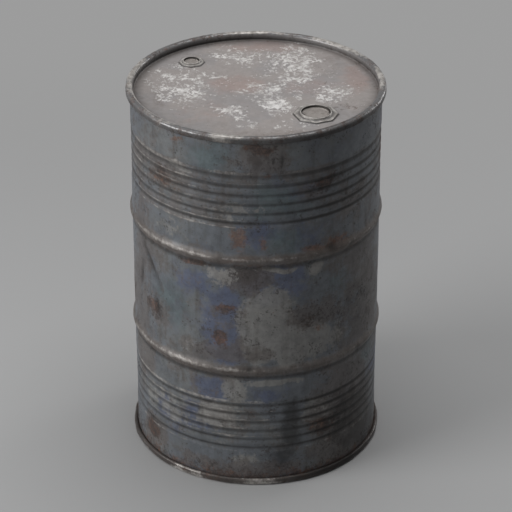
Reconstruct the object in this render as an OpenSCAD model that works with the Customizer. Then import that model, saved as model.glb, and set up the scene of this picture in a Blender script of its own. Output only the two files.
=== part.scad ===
// Tight-head steel drum: rolled and beaded shell, two seamed heads, two threaded bungs.
// Millimetres, +Z up, origin at the centre of the bottom chime's foot.

/* [Drum] */
// Overall height, over the crests of both chimes
drum_h = 900; // [700:5:1200]
// Inside diameter of the shell
inner_d = 571.5; // [450:0.5:700]
// Thickness of the shell's sheet
shell_t = 1.2; // [0.8:0.1:1.6]
// Thickness of the heads' sheet
head_t = 1.2; // [0.8:0.1:1.6]

/* [Chimes] */
// How far each chime stands out from the shell
chime_proud = 9; // [7:0.5:12]
// Width of the chime, countersink wall to outer wall
chime_w = 16.5; // [13.5:0.5:22]
// Height of the chime, crest to the bottom of its curl
chime_h = 17; // [14:0.5:24]
// Radius of the two bends over the crest
crest_bend = 6; // [5:0.1:7.5]
// Depth of each head's panel below the crest
head_depth = 19; // [15:0.5:26]
// Radius of the bend between panel and countersink wall
panel_bend = 4; // [2.5:0.5:6]

/* [Rolling hoops] */
// How far a hoop stands out from the shell
hoop_rise = 5.5; // [3:0.5:10]
// Height of a hoop along the shell
hoop_h = 36; // [24:1:46]
// Distance from the innermost bead to the hoop's middle
hoop_gap = 93; // [60:1:115]

/* [Beads] */
// Number of beads in each of the two groups
bead_count = 6; // [3:1:8]
// Distance from one bead to the next
bead_pitch = 22.8; // [18:0.2:28]
// Depth of a bead below the shell's surface
bead_depth = 2.4; // [1.4:0.1:4]
// How far the ridge between two beads stays below the shell's surface
bead_ridge_drop = 0.7; // [0:0.1:1.2]
// Distance from the drum's end to the outermost bead
bead_first = 99.5; // [75:0.5:125]

/* [Bungs] */
// Direction of the large bung; the small one lies opposite
bung_turn = -45; // [-180:1:180]
// How far each octagonal boss is pressed up from the panel
boss_rise = 3; // [2:0.1:5]
// Thickness of the octagonal base of each bung flange
base_t = 4; // [2.5:0.1:6]
// Depth of the gasket seats below the panel's surface
seat_depth = 1.5; // [1:0.1:2.5]
// Thickness of the plug gaskets
plug_gasket_t = 1.5; // [1:0.1:2]
// Thickness of the flange gaskets
flange_gasket_t = 1.4; // [1:0.1:2]
// Width of the flange gaskets
flange_gasket_w = 3; // [2:0.1:3.6]
// Thickness of a plug's rim, over its gasket
plug_rim_t = 2.8; // [2.3:0.1:3.5]
// Depth of the dish in a plug's head
plug_dish = 1.8; // [1:0.1:2.2]

/* [Large bung] */
// Distance from the countersink wall to the bung's axis
large_inset = 91; // [75:1:120]
// Major diameter of the pipe thread
large_thread_d = 59.6; // [49:0.1:72]
// Rise of the thread in one turn
large_pitch = 2.309; // [1.8:0.001:3]
// Length of the thread in the flange
large_thread_h = 12; // [9:0.5:18]
// Width of the gasket seat round the thread
large_seat_w = 2.9; // [2.4:0.1:4]
// Width of the rolled lip round the mouth
large_lip_w = 2.8; // [2.3:0.1:4]
// Height of the lip above its boss
large_lip_rise = 4; // [3:0.1:6]
// Width of the boss outside the lip, measured to its flats
large_boss_rim = 10.7; // [8.5:0.1:14]
// Size of each drive lug, across and inwards
large_lug = 10; // [7:0.5:12]
// Direction of the drive lugs
large_lug_turn = 5; // [-90:1:90]

/* [Small bung] */
// Distance from the countersink wall to the bung's axis
small_inset = 68; // [50:1:90]
// Major diameter of the pipe thread
small_thread_d = 26.4; // [22:0.1:32]
// Rise of the thread in one turn
small_pitch = 1.814; // [1.4:0.001:2.3]
// Length of the thread in the flange
small_thread_h = 10; // [8:0.5:15]
// Width of the gasket seat round the thread
small_seat_w = 4.8; // [4:0.1:6]
// Width of the rolled lip round the mouth
small_lip_w = 2.6; // [2.3:0.1:4]
// Height of the lip above its boss
small_lip_rise = 3.2; // [2.6:0.1:5]
// Width of the boss outside the lip, measured to its flats
small_boss_rim = 6.2; // [5.5:0.1:9]
// Size of each drive lug, across and inwards
small_lug = 6; // [4:0.5:7]
// Direction of the drive lugs
small_lug_turn = 63; // [-90:1:90]

/* [Clearances] */
// Gap between sheets and pieces that are seamed or crimped together
seam_gap = 0.1; // [0.05:0.01:0.2]
// Gap between the curl's tucked edge and the shell
tuck_gap = 0.3; // [0.1:0.05:0.5]
// Radial running gap in the bung threads, taken at the pitch line
thread_gap = 0.06; // [0.03:0.01:0.1]
// Radial gap round the head of a plug and round its gasket
plug_gap = 0.5; // [0.3:0.05:0.8]

/* [Hidden] */
$fn = 96;

// Shell and chime radii; "mid" values run along the middle of the sheet.
shell_mid = inner_d / 2 + shell_t / 2;
chime_r = inner_d / 2 + shell_t + chime_proud;
wall_r = chime_r - chime_w;
panel_z = drum_h - head_depth;
head_wall_mid = wall_r + head_t / 2;
head_out_mid = chime_r - head_t / 2;
curl_mid = (chime_proud - head_t - tuck_gap) / 2;
curl_z = drum_h - chime_h + head_t / 2 + curl_mid;
// Height of the curl's last straight bit, up beside the shell
tuck_rise = 1.5;
// How far the shell's hook stops above the middle of the curl
hook_rise = 0.5;

// The shell's flange nests inside the head's, one seam gap in.
nest = (head_t + shell_t) / 2 + seam_gap;
shell_bend = crest_bend - nest;
neck_mid = head_wall_mid + nest;
bend_z = drum_h - head_t / 2 - crest_bend;
// Height over which the shell narrows into the chime
shoulder_h = 7;
shoulder_z = bend_z - shoulder_h;

// Bung pieces, measured from the panel's surface.
boss_under = boss_rise - head_t;
base_top = boss_under - seam_gap;
groove_depth = flange_gasket_t - seam_gap;
rim_under = plug_gasket_t - seat_depth;

// Bend over a lip's edge, and the largest bend at its foot
lip_bend = 1.2;
max_fillet = 1.6;
// How far a lip's turned sheet runs into the flat of its boss
join = 0.8;
// Width of a plug's raised rim, and the bevel along its edges
rim_w = 2.8;
rim_edge = 0.6;
// Thickness of a plug's floor and of its threaded skirt
floor_t = 2.4;
skirt_t = 3;
// How far the drive lugs are sunk into the plug's floor
lug_sink = 0.5;
// How far a cutting shape runs past what it cuts
past = 1;

// Share of a pipe thread's pitch between its crest and its root
thread_form = 0.6403;

large_mouth_d = large_thread_d + 2 * large_seat_w;
large_lip_d = large_mouth_d + 2 * large_lip_w;
large_boss_d = large_lip_d + 2 * large_boss_rim;
small_mouth_d = small_thread_d + 2 * small_seat_w;
small_lip_d = small_mouth_d + 2 * small_lip_w;
small_boss_d = small_lip_d + 2 * small_boss_rim;

function ease(u) = (1 - cos(180 * u)) / 2;

function arc(centre, r, from, to, steps = 6) =
    [for (i = [0:steps]) let (a = from + (to - from) * i / steps)
        centre + r * [cos(a), sin(a)]];

function unit(v) = v / norm(v);

// Direction across a path at point i
function across(path, i) =
    let (
        before = path[max(i - 1, 0)],
        after = path[min(i + 1, len(path) - 1)],
        along = unit(after - before)
    )
    [-along.y, along.x];

// Outline of a sheet of thickness t whose middle follows the path
function sheet_outline(path, t) = concat(
    [for (i = [0:len(path) - 1]) path[i] + across(path, i) * t / 2],
    [for (i = [len(path) - 1:-1:0]) path[i] - across(path, i) * t / 2]
);

function upside_down(path) =
    [for (i = [len(path) - 1:-1:0]) [path[i].x, drum_h - path[i].y]];

module turned_sheet(path, t) {
    rotate_extrude() polygon(sheet_outline(path, t));
}

// Swells or dips of the shell's wall between two heights
function hoop_points(z, steps = 14) =
    [for (i = [0:steps]) let (u = 2 * i / steps)
        [shell_mid + hoop_rise * ease(u), z + (u - 1) * hoop_h / 2]];

function bead_flank(z, from, to, steps = 4) =
    [for (i = [0:steps]) let (u = i / steps)
        [shell_mid - bead_depth * (from + (to - from) * ease(u)), z + u * bead_pitch / 2]];

function bead_ridge(z, steps = 8) =
    [for (i = [1:steps - 1]) let (u = 2 * i / steps)
        [shell_mid - bead_depth + (bead_depth - bead_ridge_drop) * ease(u),
         z + u * bead_pitch / 2]];

function bead_points(z) =
    let (last = z + (bead_count - 1) * bead_pitch)
    concat(
        bead_flank(z - bead_pitch / 2, 0, 1),
        [for (k = [0:bead_count - 2]) each concat(
            bead_ridge(z + k * bead_pitch),
            k < bead_count - 2 ? [[shell_mid - bead_depth, z + (k + 1) * bead_pitch]] : []
        )],
        bead_flank(last, 1, 0)
    );

function shoulder_points(steps = 8) =
    [for (i = [0:steps - 1]) let (u = i / steps)
        [shell_mid + (neck_mid - shell_mid) * ease(u), shoulder_z + u * shoulder_h]];

// Middle line of the shell's upper half, from the drum's waist to the hook in the seam
function half_shell() =
    let (
        first_bead = drum_h - bead_first - (bead_count - 1) * bead_pitch,
        hook_z = curl_z + hook_rise
    )
    concat(
        [[shell_mid, drum_h / 2]],
        hoop_points(first_bead - hoop_gap),
        bead_points(first_bead),
        shoulder_points(),
        arc([head_wall_mid + crest_bend, bend_z], shell_bend, 180, 90),
        arc([head_out_mid - crest_bend, bend_z], shell_bend, 90, 0),
        [[head_out_mid - nest, hook_z]]
    );

// Middle line of a head, from its centre over the crest to its tucked edge
function head_line() =
    let (z = panel_z - head_t / 2, corner = panel_bend + head_t / 2)
    concat(
        [[0, z]],
        arc([head_wall_mid - corner, z + corner], corner, -90, 0),
        arc([head_wall_mid + crest_bend, bend_z], crest_bend, 180, 90),
        arc([head_out_mid - crest_bend, bend_z], crest_bend, 90, 0),
        arc([head_out_mid - curl_mid, curl_z], curl_mid, 0, -180, 10),
        [[head_out_mid - 2 * curl_mid, curl_z + tuck_rise]]
    );

module octagon(flats, h) {
    cylinder(d = flats / cos(22.5), h = h, $fn = 8);
}

module place_large() {
    rotate(bung_turn) translate([wall_r - large_inset, 0, panel_z]) rotate(-bung_turn) children();
}

module place_small() {
    rotate(bung_turn) translate([small_inset - wall_r, 0, panel_z]) rotate(-bung_turn) children();
}

// Octagonal boss in the head, with its hole's edge drawn up and folded over the flange's neck
module boss(flats, lip_d, mouth_d, lip_rise) {
    lip_mid = lip_d / 2 - head_t / 2;
    lip_h = boss_rise + lip_rise;
    lip_fillet = min(max_fillet, lip_rise - lip_bend);
    root = lip_mid + lip_fillet;
    difference() {
        translate([0, 0, -head_t]) octagon(flats, boss_rise + head_t);
        translate([0, 0, -2 * head_t]) octagon(flats - 2 * head_t, 2 * head_t + boss_under);
        cylinder(r = root, h = 2 * boss_rise);
    }
    turned_sheet(concat(
        [[root + join, boss_rise - head_t / 2]],
        arc([root, boss_rise - head_t / 2 + lip_fillet], lip_fillet, 270, 180),
        arc([lip_mid - lip_bend, lip_h - head_t / 2 - lip_bend], lip_bend, 0, 90),
        [[mouth_d / 2, lip_h - head_t / 2]]
    ), head_t);
}

function pitch_line(thread_d, pitch) = (thread_d - thread_form * pitch) / 2;

module flange(flats, lip_d, mouth_d, lip_rise, thread_d, pitch, thread_h) {
    neck_r = lip_d / 2 - head_t - seam_gap;
    lip_h = boss_rise + lip_rise;
    bottom = -seat_depth - thread_h;
    edge_z = lip_h - head_t / 2 - lip_bend;
    edge_h = lip_bend - head_t / 2 - seam_gap;
    difference() {
        union() {
            translate([0, 0, base_top - base_t]) octagon(flats - 2 * (head_t + seam_gap), base_t);
            translate([0, 0, bottom]) cylinder(r = neck_r, h = edge_z - bottom);
            translate([0, 0, edge_z]) cylinder(r1 = neck_r, r2 = neck_r - edge_h, h = edge_h);
        }
        translate([0, 0, bottom - past])
            cylinder(r = pitch_line(thread_d, pitch) + thread_gap / 2, h = thread_h + 2 * past);
        translate([0, 0, -seat_depth]) cylinder(d = mouth_d + plug_gap, h = lip_h + seat_depth);
        gasket_space(neck_r);
    }
}

// Groove in the flange's base for its gasket, open upwards to the boss
module gasket_space(neck_r) {
    translate([0, 0, base_top - groove_depth]) difference() {
        cylinder(r = neck_r + max_fillet + flange_gasket_w, h = 2 * groove_depth);
        translate([0, 0, -past]) cylinder(r = neck_r + max_fillet, h = 2 * (groove_depth + past));
    }
}

module flange_gasket(lip_d) {
    groove_r = lip_d / 2 - head_t - seam_gap + max_fillet;
    translate([0, 0, base_top - groove_depth]) difference() {
        cylinder(r = groove_r + flange_gasket_w - seam_gap, h = flange_gasket_t);
        translate([0, 0, -past]) cylinder(r = groove_r + seam_gap, h = flange_gasket_t + 2 * past);
    }
}

// Pressed cup: dished head on its gasket, threaded skirt below, two lugs for the bung key
module plug(mouth_d, thread_d, pitch, thread_h, lug, lug_turn) {
    head_r = mouth_d / 2 - plug_gap;
    skirt_r = pitch_line(thread_d, pitch) - thread_gap / 2;
    head_top = rim_under + plug_rim_t;
    floor_top = head_top - plug_dish;
    bottom = rim_under - thread_h;
    rotate_extrude() polygon([
        [0, floor_top - floor_t],
        [skirt_r - skirt_t, floor_top - floor_t],
        [skirt_r - skirt_t, bottom],
        [skirt_r, bottom],
        [skirt_r, rim_under],
        [head_r, rim_under],
        [head_r, head_top - rim_edge],
        [head_r - rim_edge, head_top],
        [head_r - rim_w, head_top],
        [head_r - rim_w - rim_edge, floor_top],
        [0, floor_top]
    ]);
    rotate(lug_turn) for (side = [0, 180]) rotate(side)
        translate([head_r - rim_w - lug / 2, -lug / 2, floor_top - lug_sink])
            cube([lug / 2, lug, plug_dish]);
}

module plug_gasket(mouth_d, thread_d, pitch) {
    translate([0, 0, -seat_depth]) difference() {
        cylinder(r = mouth_d / 2 - plug_gap, h = plug_gasket_t);
        translate([0, 0, -past])
            cylinder(r = pitch_line(thread_d, pitch) + plug_gap, h = plug_gasket_t + 2 * past);
    }
}

module shell() {
    upper = half_shell();
    lower = upside_down(upper);
    color([0.38, 0.42, 0.47])
        turned_sheet(concat(lower, [for (i = [1:len(upper) - 1]) upper[i]]), shell_t);
}

module top_head() {
    color([0.57, 0.55, 0.53]) {
        difference() {
            turned_sheet(head_line(), head_t);
            place_large() translate([0, 0, -2 * head_t])
                octagon(large_boss_d - head_t, 4 * head_t);
            place_small() translate([0, 0, -2 * head_t])
                octagon(small_boss_d - head_t, 4 * head_t);
        }
        place_large() boss(large_boss_d, large_lip_d, large_mouth_d, large_lip_rise);
        place_small() boss(small_boss_d, small_lip_d, small_mouth_d, small_lip_rise);
    }
}

module bottom_head() {
    color([0.45, 0.42, 0.40]) turned_sheet(upside_down(head_line()), head_t);
}

module large_bung_flange() {
    color([0.50, 0.50, 0.48]) place_large()
        flange(large_boss_d, large_lip_d, large_mouth_d, large_lip_rise,
            large_thread_d, large_pitch, large_thread_h);
}

module small_bung_flange() {
    color([0.50, 0.50, 0.48]) place_small()
        flange(small_boss_d, small_lip_d, small_mouth_d, small_lip_rise,
            small_thread_d, small_pitch, small_thread_h);
}

module large_flange_gasket() {
    color([0.12, 0.12, 0.12]) place_large() flange_gasket(large_lip_d);
}

module small_flange_gasket() {
    color([0.12, 0.12, 0.12]) place_small() flange_gasket(small_lip_d);
}

module large_bung_plug() {
    color([0.55, 0.53, 0.50]) place_large()
        plug(large_mouth_d, large_thread_d, large_pitch, large_thread_h,
            large_lug, large_lug_turn);
}

module small_bung_plug() {
    color([0.55, 0.53, 0.50]) place_small()
        plug(small_mouth_d, small_thread_d, small_pitch, small_thread_h,
            small_lug, small_lug_turn);
}

module large_plug_gasket() {
    color([0.12, 0.12, 0.12]) place_large()
        plug_gasket(large_mouth_d, large_thread_d, large_pitch);
}

module small_plug_gasket() {
    color([0.12, 0.12, 0.12]) place_small()
        plug_gasket(small_mouth_d, small_thread_d, small_pitch);
}

shell();
top_head();
bottom_head();
large_bung_flange();
small_bung_flange();
large_flange_gasket();
small_flange_gasket();
large_bung_plug();
small_bung_plug();
large_plug_gasket();
small_plug_gasket();
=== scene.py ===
"""Looks of a weathered steel drum: dented shell, seamed heads, threaded bungs and their finishes.

Everything is in metres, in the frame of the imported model: +Z up, the drum's foot on z = 0.
"""
import math
import random

import bmesh
import bpy
import numpy as np
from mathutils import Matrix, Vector, noise
from mathutils.geometry import delaunay_2d_cdt


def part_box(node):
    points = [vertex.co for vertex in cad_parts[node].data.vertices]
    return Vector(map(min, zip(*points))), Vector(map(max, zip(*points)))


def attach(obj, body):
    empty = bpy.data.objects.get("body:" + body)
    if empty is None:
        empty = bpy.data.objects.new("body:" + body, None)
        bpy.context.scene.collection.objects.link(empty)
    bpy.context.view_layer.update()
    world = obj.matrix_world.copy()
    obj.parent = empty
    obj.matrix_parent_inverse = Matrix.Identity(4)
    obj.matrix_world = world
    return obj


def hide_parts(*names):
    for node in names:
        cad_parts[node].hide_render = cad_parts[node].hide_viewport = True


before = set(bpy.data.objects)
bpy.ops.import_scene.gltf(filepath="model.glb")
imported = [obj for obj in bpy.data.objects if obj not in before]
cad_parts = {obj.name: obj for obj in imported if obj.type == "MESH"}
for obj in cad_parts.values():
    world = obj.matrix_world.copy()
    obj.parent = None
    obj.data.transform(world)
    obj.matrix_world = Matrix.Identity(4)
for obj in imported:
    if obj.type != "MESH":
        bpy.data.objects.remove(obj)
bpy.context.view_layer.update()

MM = 0.001
DEG = math.pi / 180

# Sizes of the drum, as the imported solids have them
DRUM_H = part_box("top_head")[1].z
CHIME_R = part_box("top_head")[1].x
SHEET = 1.2 * MM
CHIME_PROUD = 9 * MM
CHIME_W = 16.5 * MM
CHIME_H = 17 * MM
CREST_BEND = 6 * MM
HEAD_DEPTH = 19 * MM
PANEL_BEND = 4 * MM
TUCK_GAP = 0.3 * MM
WALL_R = CHIME_R - CHIME_PROUD
CHIME_INNER_R = CHIME_R - CHIME_W

HOOP_RISE = 5.5 * MM
HOOP_H = 36 * MM
HOOP_GAP = 93 * MM
BEADS = 6
BEAD_PITCH = 22.8 * MM
BEAD_DEPTH = 2.4 * MM
RIDGE_DROP = 0.7 * MM
FIRST_BEAD = 99.5 * MM
LAST_BEAD = FIRST_BEAD + (BEADS - 1) * BEAD_PITCH
# A bead group's stains and wear reach this far past its outer grooves
BEAD_MARGIN = 12 * MM
HOOP_FROM_END = LAST_BEAD + HOOP_GAP
HOOPS = (HOOP_FROM_END, DRUM_H - HOOP_FROM_END)

# Bungs: sizes of the threads, lips and bosses
BOSS_RISE = 3 * MM
SEAT_DEPTH = 1.5 * MM
GASKET_T = 1.5 * MM
PLUG_GAP = 0.5 * MM
RIM_T = 2.8 * MM
RIM_W = 2.8 * MM
DISH = 1.8 * MM
FLANGE_GAP = 0.1 * MM
FLANGE_BASE_T = 4 * MM
# Depth of a pipe thread as a share of its pitch, and how far its crests stay from the other thread's roots
THREAD_FORM = 0.6403
THREAD_PLAY = 0.07 * MM

BUNGS = {
    "large": dict(thread_d=59.6 * MM, pitch=2.309 * MM, thread_h=12 * MM, seat_w=2.9 * MM, lip_w=2.8 * MM,
                  lip_rise=4 * MM, boss_rim=10.7 * MM, lug=10 * MM, lug_turn=5),
    "small": dict(thread_d=26.4 * MM, pitch=1.814 * MM, thread_h=10 * MM, seat_w=4.8 * MM, lip_w=2.6 * MM,
                  lip_rise=3.2 * MM, boss_rim=6.2 * MM, lug=6 * MM, lug_turn=63),
}
for bung_name, bung in BUNGS.items():
    low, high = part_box(bung_name + "_bung_plug")
    bung["centre"] = ((low.x + high.x) / 2, (low.y + high.y) / 2)
    bung["mouth_r"] = bung["thread_d"] / 2 + bung["seat_w"]
    bung["lip_r"] = bung["mouth_r"] + bung["lip_w"]
    bung["boss_r"] = bung["lip_r"] + bung["boss_rim"]

# Points round the heads, the shell's wall, the bosses and flanges, and the plugs
AROUND = 320
AROUND_WALL = 280
AROUND_BOSS = 96
AROUND_PLUG = 192


# ---------------------------------------------------------------- camera, floor and lights

def aim(thing, target):
    """Turns a camera or a light towards a point."""
    thing.rotation_euler = (Vector(target) - thing.location).to_track_quat("-Z", "Y").to_euler()


def add_camera():
    """A long lens, above the drum's front."""
    elevation = 28.57 * DEG
    distance = 5.618
    middle = Vector((0, 0, DRUM_H / 2))
    camera = bpy.data.objects.new("camera", bpy.data.cameras.new("camera"))
    camera.data.lens = 167.63
    camera.data.sensor_width = 36
    camera.data.clip_end = 50
    camera.location = middle + distance * Vector((0, -math.cos(elevation), math.sin(elevation)))
    aim(camera, middle)
    bpy.context.scene.collection.objects.link(camera)
    bpy.context.scene.camera = camera


def add_area_light(name, place, size, power):
    """A white disc that shines on the drum's middle."""
    lamp = bpy.data.objects.new(name, bpy.data.lights.new(name, "AREA"))
    lamp.data.shape = "DISK"
    lamp.data.size = size
    lamp.data.energy = power
    lamp.location = place
    aim(lamp, (0, 0, 0.5))
    bpy.context.scene.collection.objects.link(lamp)


def add_lights():
    """A low lamp from the left, a broad one overhead and a weak one behind on the right."""
    add_area_light("key_light", (-4.1, -1.75, 2.0), 3.0, 188)
    add_area_light("top_light", (0.4, 0.5, 6.2), 5.0, 215)
    add_area_light("rim_light", (3.0, 2.4, 1.8), 1.6, 30)
    add_studio()


def add_studio():
    """Dim, even light from all round. What sees it directly or in a reflection sees a pale backdrop."""
    world = bpy.data.worlds.new("studio")
    world.use_nodes = True
    net = ShaderNet(world.node_tree)
    background = net.tree.nodes["Background"]
    net.put(background.inputs["Color"], net.blend(net.seen(), (0.161, 0.164, 0.169, 1), BACKDROP))
    bpy.context.scene.world = world


def add_floor():
    """A floor that reaches the horizon."""
    mesh = bpy.data.meshes.new("floor")
    half = 40
    corners = [(-half, -half, 0), (half, -half, 0), (half, half, 0), (-half, half, 0)]
    mesh.from_pydata(corners, [], [(0, 1, 2, 3)])
    floor = bpy.data.objects.new("floor", mesh)
    bpy.context.scene.collection.objects.link(floor)
    mesh.materials.append(floor_finish())


# ---------------------------------------------------------------- node trees

class Net:
    """A node tree under construction."""

    def __init__(self, tree):
        self.tree = tree

    def add(self, kind, **settings):
        node = self.tree.nodes.new(kind)
        for key, value in settings.items():
            setattr(node, key, value)
        return node

    def put(self, socket, value):
        """Links a socket to a field or another socket, or sets it to a plain value."""
        if isinstance(value, Field):
            self.tree.links.new(value.socket, socket)
        elif isinstance(value, bpy.types.NodeSocket):
            self.tree.links.new(value, socket)
        else:
            socket.default_value = value

    def math(self, operation, *values, clamp=False):
        """One arithmetic step, as a field."""
        node = self.add("ShaderNodeMath", operation=operation, use_clamp=clamp)
        for socket, value in zip(node.inputs, values):
            self.put(socket, value)
        return Field(self, node.outputs[0])


class Field:
    """A number that changes over a surface, as the output of a node."""

    def __init__(self, net, socket):
        self.net = net
        self.socket = socket

    def __add__(self, other):
        return self.net.math("ADD", self, other)

    def __radd__(self, other):
        return self.net.math("ADD", other, self)

    def __sub__(self, other):
        return self.net.math("SUBTRACT", self, other)

    def __rsub__(self, other):
        return self.net.math("SUBTRACT", other, self)

    def __mul__(self, other):
        return self.net.math("MULTIPLY", self, other)

    def __truediv__(self, other):
        return self.net.math("DIVIDE", self, other)

    def least(self, other):
        return self.net.math("MINIMUM", self, other)

    def most(self, other):
        return self.net.math("MAXIMUM", self, other)

    def clamped(self):
        return self.net.math("ADD", self, 0.0, clamp=True)


class ShaderNet(Net):
    """A material's tree, or a shader group's."""

    def position(self):
        """Object coordinates, which are metres in the drum's frame."""
        return self.add("ShaderNodeTexCoord").outputs["Object"]

    def attribute(self, name):
        return Field(self, self.add("ShaderNodeAttribute", attribute_name=name).outputs["Fac"])

    def stretched(self, vector, scale):
        """Coordinates in which a pattern is drawn out along the axis with the small scale."""
        node = self.add("ShaderNodeMapping")
        self.put(node.inputs["Vector"], vector)
        node.inputs["Scale"].default_value = scale
        return node.outputs["Vector"]

    def noise(self, vector, scale, detail=4, roughness=0.55, distortion=0, seed=0):
        node = self.add("ShaderNodeTexNoise", noise_dimensions="4D")
        self.put(node.inputs["Vector"], vector)
        self.put(node.inputs["Scale"], scale)
        node.inputs["W"].default_value = seed
        node.inputs["Detail"].default_value = detail
        node.inputs["Roughness"].default_value = roughness
        node.inputs["Distortion"].default_value = distortion
        return Field(self, node.outputs["Fac"])

    def step(self, value, low, high):
        """0 below low and 1 above high, with a smooth rise between them."""
        node = self.add("ShaderNodeMapRange", interpolation_type="SMOOTHSTEP")
        self.put(node.inputs["Value"], value)
        self.put(node.inputs["From Min"], low)
        self.put(node.inputs["From Max"], high)
        return Field(self, node.outputs["Result"])

    def blend(self, factor, first, second, mode="MIX"):
        """The first colour where the factor is 0 and the second where it is 1."""
        node = self.add("ShaderNodeMix", data_type="RGBA", blend_type=mode)
        self.put(node.inputs[0], factor)
        self.put(node.inputs[6], first)
        self.put(node.inputs[7], second)
        return node.outputs[2]

    def seen(self):
        """1 for what is looked at, directly or in a reflection."""
        path = self.add("ShaderNodeLightPath").outputs
        return self.math("MAXIMUM", self.math("MAXIMUM", path["Is Camera Ray"], path["Is Glossy Ray"]),
                         path["Is Transmission Ray"])

    def group(self, tree, **inputs):
        """A shader group in this tree, with its own values."""
        node = self.add("ShaderNodeGroup", node_tree=tree)
        for name, value in inputs.items():
            self.put(node.inputs[name.replace("_", " ")], value)
        return node


def srgb(red, green, blue):
    """A colour written in 0 to 255, as a material wants it."""
    def linear(v):
        v /= 255
        return v / 12.92 if v <= 0.04045 else ((v + 0.055) / 1.055) ** 2.4
    return linear(red), linear(green), linear(blue), 1


BACKDROP = srgb(155, 155, 155)
BLACK = srgb(0, 0, 0)


def shader_group(name, inputs, outputs):
    """An empty group with named sockets, and the nodes' ends to build between."""
    tree = bpy.data.node_groups.new(name, "ShaderNodeTree")
    for socket_name, kind in inputs:
        tree.interface.new_socket(socket_name, in_out="INPUT", socket_type=kind)
    for socket_name, kind in outputs:
        tree.interface.new_socket(socket_name, in_out="OUTPUT", socket_type=kind)
    net = ShaderNet(tree)
    return net, net.add("NodeGroupInput").outputs, net.add("NodeGroupOutput").inputs


NUMBER = "NodeSocketFloat"
VECTOR = "NodeSocketVector"
COLOUR = "NodeSocketColor"


def ragged_group():
    """A smooth amount broken into ragged patches, as paint lifts from steel."""
    net, given, out = shader_group(
        "ragged patches",
        [("Vector", VECTOR), ("Amount", NUMBER), ("Scale", NUMBER), ("Spread", NUMBER), ("Softness", NUMBER)],
        [("Mask", NUMBER)])
    coarse = net.noise(given["Vector"], given["Scale"], detail=5, roughness=0.66, distortion=0.4, seed=1.7)
    fine = net.noise(given["Vector"], Field(net, given["Scale"]) * 4.7, detail=4, roughness=0.68, seed=4.1)
    level = Field(net, given["Amount"]) + (coarse * 0.65 + fine * 0.35 - 0.5) * given["Spread"]
    soft = Field(net, given["Softness"])
    net.put(out["Mask"], net.step(level, 0.5 - soft, 0.5 + soft))
    return net.tree


def rust_group():
    """Rust from dark brown to orange, with its crust."""
    net, given, out = shader_group(
        "rust", [("Vector", VECTOR), ("Scale", NUMBER), ("Orange", NUMBER)],
        [("Color", COLOUR), ("Height", NUMBER)])
    broad = net.noise(given["Vector"], given["Scale"], detail=5, roughness=0.65, seed=2.2)
    grain = net.noise(given["Vector"], Field(net, given["Scale"]) * 7, detail=5, roughness=0.7, seed=8.4)
    dark = net.blend(net.step(grain, 0.4, 0.62), srgb(54, 43, 39), srgb(88, 68, 59))
    bright = net.blend(net.step(grain, 0.38, 0.66), srgb(96, 70, 56), srgb(128, 92, 72))
    orange = net.step(broad + Field(net, given["Orange"]) - 0.5, 0.42, 0.66)
    net.put(out["Color"], net.blend(orange, dark, bright))
    net.put(out["Height"], grain * 0.7 + broad * 0.3)
    return net.tree


def speckle_group():
    """Pits and specks, thick where Density is high."""
    net, given, out = shader_group(
        "specks", [("Vector", VECTOR), ("Density", NUMBER), ("Scale", NUMBER)], [("Mask", NUMBER)])
    dots = net.noise(given["Vector"], given["Scale"], detail=4, roughness=0.75, seed=6.3)
    cloud = net.noise(given["Vector"], Field(net, given["Scale"]) * 0.12, detail=5, roughness=0.65, seed=3.6)
    level = dots + (cloud - 0.5) * 0.55 + (Field(net, given["Density"]) - 0.5) * 0.3
    net.put(out["Mask"], net.step(level, 0.6, 0.66))
    return net.tree


def worn_steel_group():
    """Bare steel rubbed on an edge: bright scratches over dull metal."""
    net, given, out = shader_group(
        "worn steel", [("Vector", VECTOR), ("Scale", NUMBER)], [("Color", COLOUR), ("Roughness", NUMBER)])
    cloud = net.noise(given["Vector"], given["Scale"], detail=6, roughness=0.7, seed=5.5)
    tone = net.step(cloud, 0.35, 0.68)
    net.put(out["Color"], net.blend(tone, srgb(132, 127, 122), srgb(206, 202, 197)))
    net.put(out["Roughness"], 0.5 - tone * 0.17)
    return net.tree


GROUPS = {}


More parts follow.
